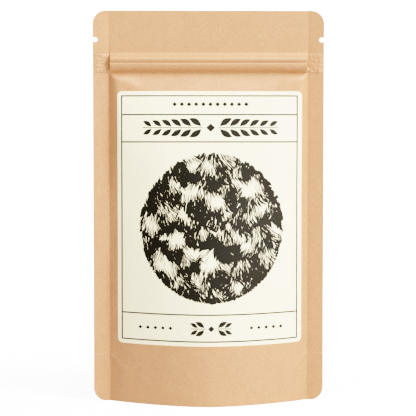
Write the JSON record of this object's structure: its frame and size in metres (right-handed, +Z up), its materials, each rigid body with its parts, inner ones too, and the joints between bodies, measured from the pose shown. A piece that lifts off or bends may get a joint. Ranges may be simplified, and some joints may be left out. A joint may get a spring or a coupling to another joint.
{
  "type": "kraft paper stand-up zip pouch",
  "caption": "Stand-up kraft-paper zip pouch with heat-sealed sides, tear notches, a folded bottom gusset and a paper label, holding loose capsules.",
  "frame": {"origin": "on the table under the middle of the pouch's box", "axes": "+Z up the pouch from its base to its mouth, -Y out of the front panel with the label, +X to the right as the label is read"},
  "size_m": [0.13, 0.0446, 0.2204],
  "materials": {
    "kraft_laminate": "matte",
    "zip_plastic": "satin",
    "label_paper": "matte",
    "capsule_shell": "satin"
  },
  "bodies": {
    "root": {"front_panel": "kraft_laminate", "back_panel": "kraft_laminate", "bottom_gusset": "kraft_laminate", "zip_track_front": "zip_plastic", "zip_track_back": "zip_plastic", "label": "label_paper", "capsules": "capsule_shell"}
  },
  "joints": []
}
